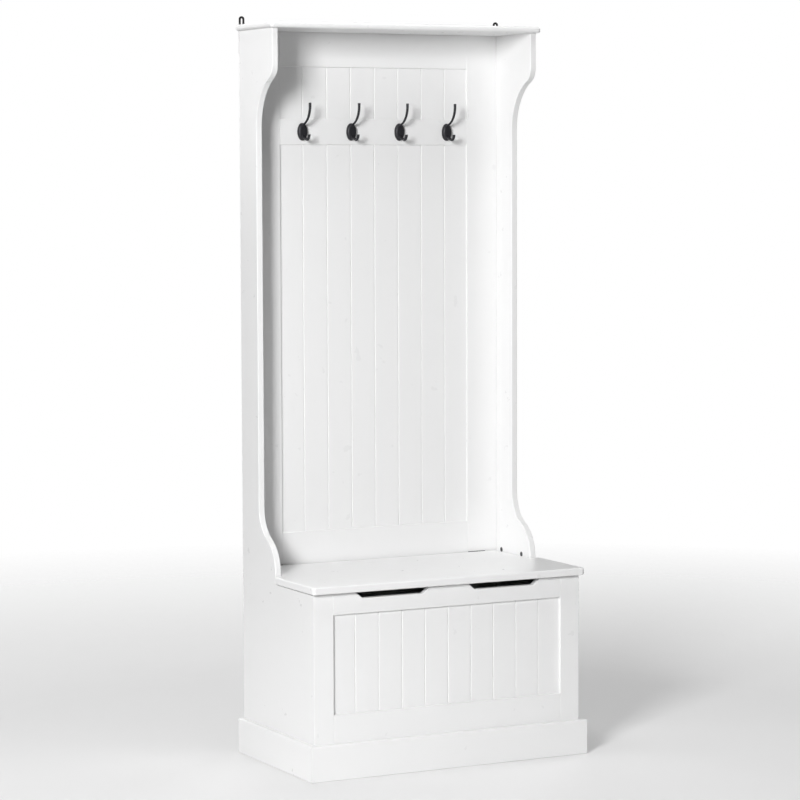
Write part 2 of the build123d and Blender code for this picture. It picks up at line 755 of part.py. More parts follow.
lid_end = lid_knuckle / 2
frame_end = lid_end + knuckle_gap
frame_knuckles = ((-hinge_length / 2, -frame_end), (frame_end, hinge_length / 2))
for name, side in MIRROR.items():
    points = [p for p in hinge_screw_points(back_face + leaf_t) if p[0] * side > 0]
    with BuildPart() as frame_leaf:
        leaf(side * hinge_x, back_face, frame_knuckles, pin_r + pin_fit)
        for point in points:
            screw_hole(point, (0, 1, 0), *hinge_screw)
    finish(frame_leaf, name + "_hinge_frame_leaf")

    points = [p for p in hinge_screw_points(lid_back - leaf_t) if p[0] * side > 0]
    with BuildPart() as lid_leaf:
        leaf(side * hinge_x, lid_back, ((-lid_end, lid_end),), pin_r + pin_gap)
        for point in points:
            screw_hole(point, (0, -1, 0), *hinge_screw)
    finish(lid_leaf, name + "_hinge_lid_leaf")

    with BuildPart() as hinge_pin:
        start = (side * hinge_x - hinge_length / 2, at(hinge_axis_depth), hinge_axis_z)
        rod(start, (1, 0, 0), pin_r, hinge_length)
    finish(hinge_pin, name + "_hinge_pin")

with BuildPart() as frame_hinge_screws:
    for point in hinge_screw_points(back_face + leaf_t):
        screw(point, (0, 1, 0), *hinge_screw)
finish(frame_hinge_screws, "frame_hinge_screws")

with BuildPart() as lid_hinge_screws:
    for point in hinge_screw_points(lid_back - leaf_t):
        screw(point, (0, -1, 0), *hinge_screw)
finish(lid_hinge_screws, "lid_hinge_screws")
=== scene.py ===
"""Hall tree: paint, ironmongery, floor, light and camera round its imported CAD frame.

Metres, +Z up, front towards -Y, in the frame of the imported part.
"""

import math

import bmesh
import bpy
from bpy.props import FloatProperty, FloatVectorProperty, IntProperty, PointerProperty
from bpy.types import Operator, Panel, PropertyGroup
from mathutils import Matrix, Vector


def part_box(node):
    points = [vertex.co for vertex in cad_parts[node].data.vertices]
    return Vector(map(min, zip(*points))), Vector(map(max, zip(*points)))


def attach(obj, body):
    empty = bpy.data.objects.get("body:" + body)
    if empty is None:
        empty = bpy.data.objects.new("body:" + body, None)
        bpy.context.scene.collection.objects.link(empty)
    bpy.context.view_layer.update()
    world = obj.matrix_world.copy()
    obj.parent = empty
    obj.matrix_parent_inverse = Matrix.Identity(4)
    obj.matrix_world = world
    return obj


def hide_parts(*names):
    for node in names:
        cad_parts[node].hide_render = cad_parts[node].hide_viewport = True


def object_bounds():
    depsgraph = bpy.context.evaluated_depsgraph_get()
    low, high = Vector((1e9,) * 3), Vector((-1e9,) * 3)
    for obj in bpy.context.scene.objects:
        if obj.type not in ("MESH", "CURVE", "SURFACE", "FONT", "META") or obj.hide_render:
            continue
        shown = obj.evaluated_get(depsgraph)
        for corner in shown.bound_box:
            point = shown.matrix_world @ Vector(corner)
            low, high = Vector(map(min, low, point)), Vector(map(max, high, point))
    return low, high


bl_info = {
    "name": "Hall Tree",
    "version": (1, 0, 0),
    "blender": (4, 5, 0),
    "location": "3D View > Sidebar > Hall Tree",
    "description": "Paint, coat hooks, fasteners and studio for a hall tree with a storage seat",
    "category": "Object",
}

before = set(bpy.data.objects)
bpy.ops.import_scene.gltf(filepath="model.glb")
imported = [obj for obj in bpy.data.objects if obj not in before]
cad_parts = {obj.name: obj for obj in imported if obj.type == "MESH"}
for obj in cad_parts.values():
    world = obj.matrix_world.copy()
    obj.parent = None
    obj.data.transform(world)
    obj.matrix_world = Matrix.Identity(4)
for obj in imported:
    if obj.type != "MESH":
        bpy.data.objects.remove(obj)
CAD_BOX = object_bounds()

HOOKS = ("left_hook", "middle_left_hook", "middle_right_hook", "right_hook")
BLACK_PARTS = (
    "left_wall_plate", "right_wall_plate",
    "left_hinge_frame_leaf", "right_hinge_frame_leaf",
    "left_hinge_lid_leaf", "right_hinge_lid_leaf",
    "left_hinge_pin", "right_hinge_pin",
)
DOWELS = ("front_frame_dowels", "back_frame_dowels")
BOLTS = ("seat_cam_bolts", "back_cam_bolts", "box_cam_bolts")


# ---- settings ----
class PaintSettings(PropertyGroup):
    """The satin paint on every board."""

    colour: FloatVectorProperty(
        name="Colour", description="Colour of the paint", subtype="COLOR",
        size=4, min=0.0, max=1.0, default=(0.81, 0.81, 0.81, 1.0),
    )
    edge_colour: FloatVectorProperty(
        name="Edge Colour", description="Colour where the paint is thin along the edges", subtype="COLOR",
        size=4, min=0.0, max=1.0, default=(0.74, 0.735, 0.725, 1.0),
    )
    roughness: FloatProperty(
        name="Roughness", description="Roughness of the satin", subtype="FACTOR",
        min=0.0, max=1.0, default=0.30,
    )
    edge_width: FloatProperty(
        name="Edge Width", description="Width of the thin paint along an edge", unit="LENGTH",
        min=0.0, default=0.0011,
    )
    peel_size: FloatProperty(
        name="Peel Size", description="Size of the ripples that spraying leaves", unit="LENGTH",
        min=0.0001, default=0.0016,
    )
    peel_depth: FloatProperty(
        name="Peel Depth", description="Depth of the ripples", unit="LENGTH", min=0.0, default=0.00001,
    )


class IronSettings(PropertyGroup):
    """The black coating on hooks, hinges and wall plates."""

    colour: FloatVectorProperty(
        name="Colour", description="Colour of the powder coat", subtype="COLOR",
        size=4, min=0.0, max=1.0, default=(0.011, 0.011, 0.012, 1.0),
    )
    worn_colour: FloatVectorProperty(
        name="Worn Colour", description="Colour where handling has polished the coat", subtype="COLOR",
        size=4, min=0.0, max=1.0, default=(0.030, 0.030, 0.030, 1.0),
    )
    roughness: FloatProperty(
        name="Roughness", description="Roughness of the coat", subtype="FACTOR",
        min=0.0, max=1.0, default=0.55,
    )
    grain_size: FloatProperty(
        name="Grain Size", description="Size of the coat's grain", unit="LENGTH", min=0.0001, default=0.0006,
    )


class HookSettings(PropertyGroup):
    """A cast coat hook: an oval plate with a long upper and a short lower prong."""

    plate_height: FloatProperty(
        name="Plate Height", description="Height of the oval plate", unit="LENGTH", default=0.042,
    )
    plate_thickness: FloatProperty(
        name="Plate Thickness", description="Thickness of the plate at its middle", unit="LENGTH",
        default=0.010,
    )
    neck_radius: FloatProperty(
        name="Neck Radius", description="Radius of a prong where it leaves the plate", unit="LENGTH",
        default=0.0026,
    )
    tip_radius: FloatProperty(
        name="Tip Radius", description="Radius of the upper prong at its tip", unit="LENGTH",
        default=0.0034,
    )
    cast_size: FloatProperty(
        name="Cast Size", description="Fineness of the casting's surface", unit="LENGTH", default=0.00045,
    )


class FastenerSettings(PropertyGroup):
    """Screw heads, cam locks and the lid's pads."""

    recess_share: FloatProperty(
        name="Recess Share", description="Length of the cross recess as a share of the head",
        subtype="FACTOR", min=0.1, max=0.9, default=0.6,
    )
    recess_width: FloatProperty(
        name="Recess Width", description="Width of an arm of the cross recess", unit="LENGTH",
        default=0.0009,
    )
    dome_share: FloatProperty(
        name="Dome Share", description="Drop of the head's rim as a share of its thickness",
        subtype="FACTOR", min=0.0, max=1.0, default=0.35,
    )
    seed: IntProperty(
        name="Seed", description="Seed of the way that each cross recess is turned", default=7,
    )


class StageSettings(PropertyGroup):
    """Floor, backdrop, lights and camera."""

    floor_colour: FloatVectorProperty(
        name="Floor Colour", description="Colour of the floor", subtype="COLOR",
        size=4, min=0.0, max=1.0, default=(0.80, 0.80, 0.80, 1.0),
    )
    floor_radius: FloatProperty(
        name="Floor Radius", description="Where the floor has faded into the backdrop", unit="LENGTH",
        default=4.0,
    )
    key_power: FloatProperty(
        name="Key Power", description="Power of the main light, front left", unit="POWER", default=254.0,
    )
    key_angle: FloatProperty(
        name="Key Angle", description="Main light's direction, left of the front", unit="ROTATION",
        default=math.radians(46.0),
    )
    key_rise: FloatProperty(
        name="Key Rise", description="Main light's height above the level", unit="ROTATION",
        default=math.radians(12.0),
    )
    top_power: FloatProperty(
        name="Top Power", description="Power of the light above", unit="POWER", default=52.0,
    )
    rim_power: FloatProperty(
        name="Rim Power", description="Power of each light beside and behind", unit="POWER", default=40.0,
    )
    fill_power: FloatProperty(
        name="Fill Power", description="Power of the broad light, front right", unit="POWER", default=10.0,
    )
    back_power: FloatProperty(
        name="Back Power", description="Power of the light on the back", unit="POWER", default=60.0,
    )
    ambient: FloatProperty(
        name="Ambient", description="Strength of the light from all round", default=0.045,
    )
    camera_place: FloatVectorProperty(
        name="Camera Place", description="Where the camera stands", subtype="TRANSLATION",
        size=3, default=(-3.157, -6.073, 1.380),
    )
    camera_yaw: FloatProperty(
        name="Camera Yaw", description="Camera's turn to the right of straight ahead", unit="ROTATION",
        default=math.radians(27.243),
    )
    camera_pitch: FloatProperty(
        name="Camera Pitch", description="Camera's tilt above the level", unit="ROTATION",
        default=math.radians(-4.447),
    )
    camera_roll: FloatProperty(
        name="Camera Roll", description="Camera's lean", unit="ROTATION", default=math.radians(-0.198),
    )
    lens: FloatProperty(name="Lens", description="Focal length", unit="CAMERA", default=130.1)


# ---- nodes ----
# sockets of a Mix node set to colours, and of a Random Value node set to numbers
MIX_FACTOR, MIX_COLOURS, MIX_RESULT = 0, (6, 7), 2
RANDOM_MIN, RANDOM_MAX, RANDOM_VALUE = 2, 3, 1
# how well the plain and the rounded normal agree on an open face, and on an edge
EDGE_AGREEMENT = (0.995, 0.86)


def node(tree, kind, inputs=None, **options):
    """Add a node, set its options, and set or link its inputs by name or index."""
    made = tree.nodes.new(kind)
    for name, value in options.items():
        setattr(made, name, value)
    for key, value in (inputs or {}).items():
        if isinstance(value, bpy.types.NodeSocket):
            tree.links.new(value, made.inputs[key])
        else:
            made.inputs[key].default_value = value
    return made


def calc(tree, operation, *values):
    """The result of a Math node."""
    return node(tree, "ShaderNodeMath", dict(enumerate(values)), operation=operation).outputs[0]


def remap(tree, value, low, high, to_low, to_high):
    """A value moved from one range to another, and kept inside it."""
    inputs = {"Value": value, "From Min": low, "From Max": high, "To Min": to_low, "To Max": to_high}
    return node(tree, "ShaderNodeMapRange", inputs).outputs["Result"]


def noise(tree, place, size, detail):
    """Noise whose lumps are about size metres across."""
    inputs = {"Vector": place, "Scale": 1 / size, "Detail": detail}
    return node(tree, "ShaderNodeTexNoise", inputs).outputs["Fac"]


def mix_colour(tree, amount, first, second):
    """A blend of two colours."""
    inputs = {MIX_FACTOR: amount, MIX_COLOURS[0]: first, MIX_COLOURS[1]: second}
    return node(tree, "ShaderNodeMix", inputs, data_type="RGBA").outputs[MIX_RESULT]


def new_material(name):
    """An empty material, its tree, its Principled shader and its object coordinates."""
    material = bpy.data.materials.new(name)
    material.use_nodes = True
    tree = material.node_tree
    tree.nodes.clear()
    shader = node(tree, "ShaderNodeBsdfPrincipled")
    node(tree, "ShaderNodeOutputMaterial", {"Surface": shader.outputs["BSDF"]})
    place = node(tree, "ShaderNodeTexCoord").outputs["Object"]
    return material, tree, shader, place


def edge_mask(tree, width):
    """1 along edges and 0 on open faces, from how far a rounded edge would turn the surface."""
    rounded = node(tree, "ShaderNodeBevel", {"Radius": width}, samples=4).outputs["Normal"]
    plain = node(tree, "ShaderNodeNewGeometry").outputs["Normal"]
    inputs = {0: rounded, 1: plain}
    agree = node(tree, "ShaderNodeVectorMath", inputs, operation="DOT_PRODUCT").outputs["Value"]
    return remap(tree, agree, *EDGE_AGREEMENT, 0.0, 1.0)


def bump(tree, height, distance):
    """The normal that a height pattern gives."""
    inputs = {"Height": height, "Distance": distance, "Strength": 1.0}
    return node(tree, "ShaderNodeBump", inputs).outputs["Normal"]


# ---- materials ----
def paint_material(settings):
    """Satin paint: faint clouding, thin edges, sprayed ripples and uneven gloss."""
    material, tree, shader, place = new_material("white_paint")
    cloud = noise(tree, place, 0.35, 3.0)
    blotch = noise(tree, place, 0.03, 4.0)
    uneven = remap(tree, blotch, 0.35, 0.65, 0.1, 0.6)
    edge = calc(tree, "MULTIPLY", edge_mask(tree, settings.edge_width), uneven)
    deep = [channel * 0.985 for channel in settings.colour[:3]] + [1.0]
    body = mix_colour(tree, remap(tree, cloud, 0.3, 0.7, 0.0, 1.0), tuple(settings.colour), deep)
    tree.links.new(mix_colour(tree, edge, body, tuple(settings.edge_colour)), shader.inputs["Base Color"])
    spread = remap(tree, blotch, 0.2, 0.8, settings.roughness - 0.04, settings.roughness + 0.05)
    tree.links.new(calc(tree, "ADD", spread, calc(tree, "MULTIPLY", edge, 0.15)), shader.inputs["Roughness"])
    ripple = noise(tree, place, settings.peel_size, 2.0)
    tree.links.new(bump(tree, ripple, settings.peel_depth), shader.inputs["Normal"])
    shader.inputs["IOR"].default_value = 1.5
    return material


def iron_material(settings):
    """Black powder coat: fine grain, polished on its edges by coats and hands."""
    material, tree, shader, place = new_material("black_metal")
    grain = noise(tree, place, settings.grain_size, 3.0)
    patch = noise(tree, place, 0.012, 3.0)
    edge = calc(tree, "MULTIPLY", edge_mask(tree, 0.0006), remap(tree, patch, 0.4, 0.7, 0.0, 0.8))
    body = mix_colour(tree, edge, tuple(settings.colour), tuple(settings.worn_colour))
    tree.links.new(body, shader.inputs["Base Color"])
    low, high = settings.roughness - 0.06, settings.roughness + 0.08
    tree.links.new(remap(tree, patch, 0.3, 0.7, low, high), shader.inputs["Roughness"])
    tree.links.new(bump(tree, grain, 0.00002), shader.inputs["Normal"])
    shader.inputs["Specular IOR Level"].default_value = 0.35
    return material


def metal_material(name, dark, light, roughness, brushed):
    """Bare metal: brushed or cast grain with tarnish in patches."""
    material, tree, shader, place = new_material(name)
    stretched = node(tree, "ShaderNodeMapping", {"Vector": place, "Scale": brushed}).outputs["Vector"]
    grain = noise(tree, stretched, 0.0007, 4.0)
    tarnish = noise(tree, place, 0.006, 3.0)
    body = mix_colour(tree, remap(tree, tarnish, 0.3, 0.7, 0.0, 1.0), dark, light)
    tree.links.new(body, shader.inputs["Base Color"])
    low, high = roughness - 0.08, roughness + 0.1
    tree.links.new(remap(tree, grain, 0.3, 0.7, low, high), shader.inputs["Roughness"])
    tree.links.new(bump(tree, grain, 0.00003), shader.inputs["Normal"])
    shader.inputs["Metallic"].default_value = 1.0
    return material


def beech_material():
    """Raw beech: grain along the dowel and short dark flecks."""
    material, tree, shader, place = new_material("dowel_wood")
    along = node(tree, "ShaderNodeMapping", {"Vector": place, "Scale": (0.08, 1.0, 1.0)}).outputs["Vector"]
    grain = noise(tree, along, 0.0012, 5.0)
    fleck = noise(tree, along, 0.0004, 2.0)
    straw = (0.62, 0.43, 0.25, 1.0)
    brown = (0.45, 0.28, 0.15, 1.0)
    wood = mix_colour(tree, remap(tree, grain, 0.35, 0.7, 0.0, 1.0), straw, brown)
    flecked = mix_colour(tree, remap(tree, fleck, 0.62, 0.7, 0.0, 0.6), wood, brown)
    tree.links.new(flecked, shader.inputs["Base Color"])
    tree.links.new(remap(tree, grain, 0.3, 0.7, 0.55, 0.75), shader.inputs["Roughness"])
    tree.links.new(bump(tree, grain, 0.0001), shader.inputs["Normal"])
    return material


def rubber_material():
    """Milky soft plastic of the lid's pads."""
    material, tree, shader, place = new_material("clear_rubber")
    cloud = noise(tree, place, 0.004, 3.0)
    clear = (0.70, 0.70, 0.68, 1.0)
    milky = (0.58, 0.58, 0.55, 1.0)
    tree.links.new(mix_colour(tree, cloud, clear, milky), shader.inputs["Base Color"])
    tree.links.new(remap(tree, cloud, 0.3, 0.7, 0.3, 0.45), shader.inputs["Roughness"])
    tree.links.new(bump(tree, cloud, 0.00005), shader.inputs["Normal"])
    shader.inputs["Subsurface Weight"].default_value = 0.3
    shader.inputs["Subsurface Radius"].default_value = (0.003, 0.003, 0.003)
    return material


def floor_material(settings):
    """Pale floor that fades into the backdrop away from the object."""
    material, tree, shader, place = new_material("studio_floor")
    cloud = noise(tree, place, 0.8, 3.0)
    pale = tuple(settings.floor_colour)
    worn = [channel * 0.985 for channel in pale[:3]] + [1.0]
    tree.links.new(mix_colour(tree, cloud, pale, worn), shader.inputs["Base Color"])
    tree.links.new(remap(tree, cloud, 0.3, 0.7, 0.75, 0.85), shader.inputs["Roughness"])
    away = node(tree, "ShaderNodeVectorMath", {0: place}, operation="LENGTH").outputs["Value"]
    shown = remap(tree, away, settings.floor_radius * 0.3, settings.floor_radius, 1.0, 0.0)
    tree.links.new(shown, shader.inputs["Alpha"])
    return material


def backdrop_material():
    """White that only the camera sees."""
    material = bpy.data.materials.new("studio_backdrop")
    material.use_nodes = True
    tree = material.node_tree
    tree.nodes.clear()
    glow = node(tree, "ShaderNodeEmission", {"Color": (1.0, 1.0, 1.0, 1.0), "Strength": 1.0})
    node(tree, "ShaderNodeOutputMaterial", {"Surface": glow.outputs["Emission"]})
    return material


def coat_node(name, material):
    """Give a CAD node a material."""
    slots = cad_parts[name].data.materials
    for index in range(len(slots)):
        slots[index] = material


# ---- meshes ----
def link_mesh(name, mesh):
    """A new object that holds a mesh."""
    made = bpy.data.objects.new(name, mesh)
    bpy.context.scene.collection.objects.link(made)
    return made


def evaluated_mesh(source):
    """The plain mesh that an object's modifiers or bevel make."""
    bpy.context.view_layer.update()
    depsgraph = bpy.context.evaluated_depsgraph_get()
    return bpy.data.meshes.new_from_object(source.evaluated_get(depsgraph), depsgraph=depsgraph)


def discard(made):
    """Remove an object that was only a step towards another."""
    bpy.data.objects.remove(made)


def islands(name):
    """Lowest and highest corner of each separate solid in a CAD node."""
    work = bmesh.new()
    work.from_mesh(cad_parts[name].data)
    bmesh.ops.remove_doubles(work, verts=work.verts, dist=1e-6)
    left, found = set(work.verts), []
    while left:
        front, points = [left.pop()], []
        while front:
            vert = front.pop()
            points.append(vert.co.copy())
            for edge in vert.link_edges:
                other = edge.other_vert(vert)
                if other in left:
                    left.remove(other)
                    front.append(other)
        low = Vector(min(p[i] for p in points) for i in range(3))
        high = Vector(max(p[i] for p in points) for i in range(3))
        found.append((low, high))
    work.free()
    return found


def face_point(low, high, facing):
    """Middle of the side of a box that faces a direction."""
    middle = (low + high) / 2
    half = (high - low) / 2
    return middle + Vector(half[i] * facing[i] for i in range(3))


# ---- fasteners: one tree of nodes makes every head in a group ----
def point_cloud(name, places):
    """A mesh of loose points, each with the direction that its fastener faces."""
    mesh = bpy.data.meshes.new(name)
    mesh.from_pydata([tuple(point) for point, facing in places], [], [])
    facing = mesh.attributes.new("facing", "FLOAT_VECTOR", "POINT")
    for index, (_, direction) in enumerate(places):
        facing.data[index].vector = direction
    return link_mesh(name, mesh)


def group_input(tree, name, kind, default=None):
    """Add a named input to a tree of geometry nodes."""
    socket = tree.interface.new_socket(name, in_out="INPUT", socket_type=kind)
    if default is not None:
        socket.default_value = default
    return socket


def fastener_tree():
    """Geometry nodes: a domed or rimmed round head with a cross recess, set on every point."""
    tree = bpy.data.node_groups.new("Fastener Heads", "GeometryNodeTree")
    group_input(tree, "Geometry", "NodeSocketGeometry")
    for name, default in (
        ("Radius", 0.003), ("Height", 0.0015), ("Dome", 0.0005), ("Rim Width", 0.0), ("Rim Depth", 0.0),
        ("Recess Length", 0.0036), ("Recess Width", 0.0009), ("Recess Depth", 0.001),
    ):
        group_input(tree, name, "NodeSocketFloat", default)
    group_input(tree, "Seed", "NodeSocketInt", 0)
    group_input(tree, "Material", "NodeSocketMaterial")
    tree.interface.new_socket("Geometry", in_out="OUTPUT", socket_type="NodeSocketGeometry")
    given = node(tree, "NodeGroupInput").outputs

    head = node(
        tree, "GeometryNodeMeshCylinder",
        {"Vertices": 40, "Side Segments": 1, "Fill Segments": 6,
         "Radius": given["Radius"], "Depth": given["Height"]},
    ).outputs["Mesh"]
    spot = node(tree, "ShaderNodeSeparateXYZ", {0: node(tree, "GeometryNodeInputPosition").outputs[0]})
    across = calc(tree, "ADD", calc(tree, "POWER", spot.outputs["X"], 2.0),
                  calc(tree, "POWER", spot.outputs["Y"], 2.0))
    share = calc(tree, "DIVIDE", across, calc(tree, "POWER", given["Radius"], 2.0))
    on_top = calc(tree, "GREATER_THAN", spot.outputs["Z"], 0.0)
    drop = calc(tree, "MULTIPLY", calc(tree, "MULTIPLY", share, given["Dome"]), on_top)
    sunk = node(tree, "ShaderNodeCombineXYZ", {"Z": calc(tree, "MULTIPLY", drop, -1.0)}).outputs[0]
    domed = node(tree, "GeometryNodeSetPosition", {"Geometry": head, "Offset": sunk}).outputs[0]
    down = node(tree, "ShaderNodeCombineXYZ", {"Z": calc(tree, "MULTIPLY", given["Height"], -0.5)})
    seated = node(
        tree, "GeometryNodeTransform", {"Geometry": domed, "Translation": down.outputs[0]}
    ).outputs[0]

    arms = []
    for turn in (0.0, math.pi / 2):
        size = node(tree, "ShaderNodeCombineXYZ", {
            "X": given["Recess Length"], "Y": given["Recess Width"],
            "Z": calc(tree, "MULTIPLY", given["Recess Depth"], 2.0),
        })
        arm = node(tree, "GeometryNodeMeshCube", {"Size": size.outputs[0]}).outputs["Mesh"]
        arms.append(
            node(tree, "GeometryNodeTransform", {"Geometry": arm, "Rotation": (0.0, 0.0, turn)}).outputs[0]
        )
    pit_radius = calc(tree, "SUBTRACT", given["Radius"], given["Rim Width"])
    pit = node(
        tree, "GeometryNodeMeshCylinder",
        {"Vertices": 40, "Radius": pit_radius, "Depth": calc(tree, "MULTIPLY", given["Rim Depth"], 2.0)},
    ).outputs["Mesh"]
    rimmed = node(tree, "GeometryNodeMeshBoolean", {"Mesh 1": seated}, operation="DIFFERENCE")
    tree.links.new(pit, rimmed.inputs["Mesh 2"])
    has_rim = node(
        tree, "GeometryNodeSwitch",
        {"Switch": calc(tree, "GREATER_THAN", given["Rim Depth"], 0.0), "False": seated,
         "True": rimmed.outputs["Mesh"]},
        input_type="GEOMETRY",
    ).outputs[0]
    crossed = node(tree, "GeometryNodeMeshBoolean", {"Mesh 1": has_rim}, operation="DIFFERENCE")
    for arm in arms:
        tree.links.new(arm, crossed.inputs["Mesh 2"])
    has_recess = node(
        tree, "GeometryNodeSwitch",
        {"Switch": calc(tree, "GREATER_THAN", given["Recess Depth"], 0.0), "False": has_rim,
         "True": crossed.outputs["Mesh"]},
        input_type="GEOMETRY",
    ).outputs[0]
    smooth = node(tree, "GeometryNodeSetShadeSmooth", {"Geometry": has_recess, "Shade Smooth": True})
    angle = node(tree, "GeometryNodeInputMeshEdgeAngle").outputs["Unsigned Angle"]
    crisp = node(
        tree, "GeometryNodeSetShadeSmooth",
        {"Geometry": smooth.outputs[0], "Selection": calc(tree, "GREATER_THAN", angle, 0.5),
         "Shade Smooth": False},
        domain="EDGE",
    ).outputs[0]

    facing = node(tree, "GeometryNodeInputNamedAttribute", {"Name": "facing"}, data_type="FLOAT_VECTOR")
    stand = node(
        tree, "FunctionNodeAlignRotationToVector", {"Vector": facing.outputs["Attribute"]}, axis="Z"
    ).outputs[0]
    turn = node(
        tree, "FunctionNodeRandomValue", {RANDOM_MIN: 0.0, RANDOM_MAX: math.pi, "Seed": given["Seed"]},
        data_type="FLOAT",
    ).outputs[RANDOM_VALUE]
    spin = node(
        tree, "FunctionNodeAxisAngleToRotation", {"Axis": (0.0, 0.0, 1.0), "Angle": turn}
    ).outputs[0]
    turned = node(
        tree, "FunctionNodeRotateRotation", {"Rotation": stand, "Rotate By": spin}, rotation_space="LOCAL"
    ).outputs[0]
    placed = node(
        tree, "GeometryNodeInstanceOnPoints",
        {"Points": given["Geometry"], "Instance": crisp, "Rotation": turned},
    ).outputs[0]
    real = node(tree, "GeometryNodeRealizeInstances", {"Geometry": placed}).outputs[0]
    coated = node(
        tree, "GeometryNodeSetMaterial", {"Geometry": real, "Material": given["Material"]}
    ).outputs[0]
    node(tree, "NodeGroupOutput", {0: coated})
    return tree


def make_fasteners(name, body, replaced, places, material, sizes):
    """Set one head on each place, as one plain mesh that stands for a CAD node."""
    cloud = point_cloud(name + "_points", places)
    tree = bpy.data.node_groups.get("Fastener Heads") or fastener_tree()
    modifier = cloud.modifiers.new("heads", "NODES")
    modifier.node_group = tree
    values = {**sizes, "Material": material}
    for item in tree.interface.items_tree:
        if item.in_out == "INPUT" and item.name in values:
            modifier[item.identifier] = values[item.name]
    mesh = evaluated_mesh(cloud)
    discard(cloud)
    mesh.name = name
    made = link_mesh(name, mesh)
    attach(made, body)
    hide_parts(replaced)


# ---- coat hooks ----
# Points of each prong: (forward, up), handle in, handle out, and the radius as a share of the neck's
# or the tip's.
UPPER_PRONG = (
    ((0.001, 0.013), (-0.004, 0.011), (0.007, 0.0155), "neck", 1.25),
    ((0.018, 0.020), (0.012, 0.0175), (0.0349, 0.0268), "neck", 1.0),
    ((0.046, 0.0613), (0.046, 0.0431), (0.046, 0.0635), "tip", 0.97),
    ((0.046, 0.068), (0.046, 0.066), (0.046, 0.070), "tip", 1.0),
)
LOWER_PRONG = (
    ((0.001, -0.0104), (-0.004, -0.009), (0.010, -0.0133), "neck", 1.4),
    ((0.025, -0.0182), (0.018, -0.0159), (0.0328, -0.0208), "neck", 1.25),
    ((0.040, -0.0083), (0.040, -0.0150), (0.040, -0.0078), "neck", 1.35),
    ((0.040, -0.0065), (0.040, -0.0072), (0.040, -0.005), "neck", 1.35),
)


def hook_plate(settings, width):
    """The hook's oval plate: flat behind, domed in front, with a rolled rim."""
    work = bmesh.new()
    rings, spokes = 14, 72
    half_width, half_height = width / 2, settings.plate_height / 2
    profile = [(1.0, 0.0), (1.0, 0.25)]
    for step in range(1, rings):
        slope = step / rings * math.pi / 2
        profile.append((math.cos(slope) ** 0.4, 0.25 + 0.75 * math.sin(slope) ** 0.9))
    loops = []
    for share, rise in profile:
        loop = []
        for spoke in range(spokes):
            angle = math.tau * spoke / spokes
            x, z = half_width * share * math.cos(angle), half_height * share * math.sin(angle)
            loop.append(work.verts.new((x, -settings.plate_thickness * rise, z)))
        loops.append(loop)
    for lower, upper in zip(loops, loops[1:]):
        for i in range(spokes):
            j = (i + 1) % spokes
            work.faces.new((lower[i], lower[j], upper[j], upper[i]))
    for loop in (loops[0], loops[-1]):
        work.faces.new(loop)
    bmesh.ops.recalc_face_normals(work, faces=work.faces)
    mesh = bpy.data.meshes.new("hook_plate")
    work.to_mesh(mesh)
    work.free()
    return mesh


def prong_mesh(points, radii):
    """A round prong through its points."""
    curve = bpy.data.curves.new("prong", "CURVE")
    curve.dimensions = "3D"
    curve.bevel_depth = 1.0
    curve.bevel_resolution = 8
    curve.resolution_u = 20
    curve.use_fill_caps = True
    spline = curve.splines.new("BEZIER")
    spline.bezier_points.add(len(points) - 1)
    for knot, (spot, before, after, part, share) in zip(spline.bezier_points, points):
        knot.handle_left_type = knot.handle_right_type = "FREE"
        knot.co = (0.0, -spot[0], spot[1])
        knot.handle_left = (0.0, -before[0], before[1])
        knot.handle_right = (0.0, -after[0], after[1])
        knot.radius = radii[part] * share
    made = link_mesh("prong", curve)
    mesh = evaluated_mesh(made)
    discard(made)
    return mesh


def hook_mesh(settings, width):
    """A whole hook about the middle of its plate, cast in one piece."""
    radii = {"neck": settings.neck_radius, "tip": settings.tip_radius}
    parts = (hook_plate(settings, width), prong_mesh(UPPER_PRONG, radii), prong_mesh(LOWER_PRONG, radii))
    work = bmesh.new()
    for part in parts:
        work.from_mesh(part)
    rough = bpy.data.meshes.new("hook_rough")
    work.to_mesh(rough)
    work.free()
    casting = link_mesh("hook_rough", rough)
    remesh = casting.modifiers.new("cast", "REMESH")
    remesh.mode = "VOXEL"
    remesh.voxel_size = settings.cast_size
    remesh.use_smooth_shade = True
    smooth = casting.modifiers.new("fettle", "SMOOTH")
    smooth.factor = 0.5
    smooth.iterations = 8
    mesh = evaluated_mesh(casting)
    discard(casting)
    return mesh


# ---- stage ----
def lay_floor(settings, level):
    """A round floor just under the plinth."""
    work = bmesh.new()
    bmesh.ops.create_circle(work, cap_ends=True, segments=96, radius=settings.floor_radius)
    mesh = bpy.data.meshes.new("floor")
    work.to_mesh(mesh)
    work.free()
    mesh.transform(Matrix.Translation((0.0, 0.0, level - 0.0005)))
    mesh.materials.append(floor_material(settings))
    link_mesh("floor", mesh)


def raise_backdrop(middle):
    """A white shell far away, which only the camera sees."""
    work = bmesh.new()
    bmesh.ops.create_icosphere(work, subdivisions=4, radius=40.0)
    mesh = bpy.data.meshes.new("backdrop")
    work.to_mesh(mesh)
    work.free()
    mesh.transform(Matrix.Translation(middle))
    mesh.materials.append(backdrop_material())
    shell = link_mesh("backdrop", mesh)
    shell.visible_diffuse = False
    shell.visible_glossy = False
    shell.visible_transmission = False
    shell.visible_shadow = False


